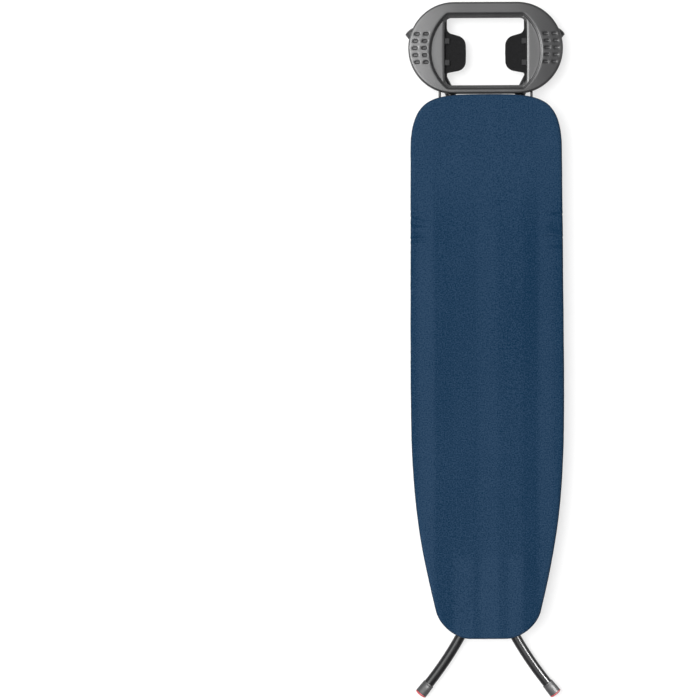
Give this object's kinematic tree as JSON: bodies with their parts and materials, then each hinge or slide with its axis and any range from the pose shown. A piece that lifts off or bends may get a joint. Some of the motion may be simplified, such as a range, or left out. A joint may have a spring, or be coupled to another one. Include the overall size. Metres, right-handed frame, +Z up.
{
  "type": "folding ironing board",
  "caption": "Folding ironing board with a padded blue cover, a moulded iron rest and tubular scissor legs that fold flat under the board.",
  "frame": {"origin": "on the surface that the folded board lies on, under the middle of its box", "axes": "+Z up out of the ironing surface, +Y towards the iron rest, -Y towards the nose, X across"},
  "size_m": [0.3252, 1.4176, 0.0525],
  "materials": {
    "cover_fabric": "woven cotton, matte",
    "hem_elastic": "braided elastic",
    "felt": "needled felt",
    "rest_plastic": "fine moulded texture",
    "dark_plastic": "moulded",
    "nylon": "natural nylon",
    "red_rubber": "soft, matte",
    "grey_rubber": "soft, matte",
    "black_paint": "gloss powder coat",
    "textured_steel": "wrinkle powder coat",
    "zinc_steel": "zinc plated"
  },
  "bodies": {
    "board": {"axle_washer_left": "zinc_steel", "axle_washer_right": "zinc_steel", "cover": "cover_fabric", "cross_member_end": "black_paint", "cross_member_middle": "black_paint", "cross_member_nose": "black_paint", "cross_member_pivot": "black_paint", "edge_frame": "black_paint", "hem_cord": "hem_elastic", "iron_rest": "rest_plastic", "latch_hanger_middle": "black_paint", "latch_hanger_nose": "black_paint", "latch_spring": "zinc_steel", "mesh_top": "black_paint", "pad": "felt", "pivot_axle": "zinc_steel", "pivot_bracket_left": "black_paint", "pivot_bracket_right": "black_paint", "rail_left": "black_paint", "rail_right": "black_paint", "rest_clamp_left": "dark_plastic", "rest_clamp_right": "dark_plastic", "rest_wing_left": "textured_steel", "rest_wing_right": "textured_steel", "rest_wire": "black_paint"},
    "front_leg": {"centre_bolt_left": "zinc_steel", "centre_bolt_right": "zinc_steel", "centre_nut_left": "zinc_steel", "centre_nut_right": "zinc_steel", "centre_washer_left": "nylon", "centre_washer_right": "nylon", "front_foot_left": "dark_plastic", "front_foot_right": "dark_plastic", "front_leg_brace_lower": "black_paint", "front_leg_brace_upper": "black_paint", "front_leg_lug_left": "black_paint", "front_leg_lug_right": "black_paint", "front_leg_tube_left": "black_paint", "front_leg_tube_right": "black_paint", "front_sole_left": "red_rubber", "front_sole_right": "red_rubber"},
    "rear_leg": {"rear_foot_left": "dark_plastic", "rear_foot_right": "dark_plastic", "rear_leg_brace": "black_paint", "rear_leg_lug_left": "black_paint", "rear_leg_lug_right": "black_paint", "rear_leg_tube_left": "black_paint", "rear_leg_tube_right": "black_paint", "rear_sole_left": "grey_rubber", "rear_sole_right": "grey_rubber", "rod_spacer_left": "nylon", "rod_spacer_right": "nylon", "slider_rod": "zinc_steel"},
    "slider": {"guide_block_left": "nylon", "guide_block_right": "nylon"},
    "latch": {"latch_strip": "zinc_steel", "release_lever": "zinc_steel", "release_grip": "dark_plastic"}
  },
  "joints": [
    {"name": "leg_fold", "type": "hinge", "parent": "board", "child": "front_leg", "pos_m": [0, 0.40569, 0.027], "axis": [1, 0, 0], "range_deg": [0, 50]},
    {"name": "scissor", "type": "hinge", "parent": "front_leg", "child": "rear_leg", "pos_m": [0, -0.02431, 0.0125], "axis": [1, 0, 0], "range_deg": [-100, 0]},
    {"name": "guide_tilt", "type": "hinge", "parent": "rear_leg", "child": "slider", "pos_m": [0, -0.45431, 0.027], "axis": [1, 0, 0], "range_deg": [0, 50]},
    {"name": "height_release", "type": "hinge", "parent": "board", "child": "latch", "pos_m": [0.02, -0.07961, 0.013], "axis": [0, -1, 0], "range_deg": [0, 10], "stiffness_Nm_per_rad": 1, "springref_deg": -17.19}
  ],
  "couplings": [
    {"joint": "scissor", "follows": "leg_fold", "ratio": -2},
    {"joint": "guide_tilt", "follows": "leg_fold", "ratio": 1}
  ]
}
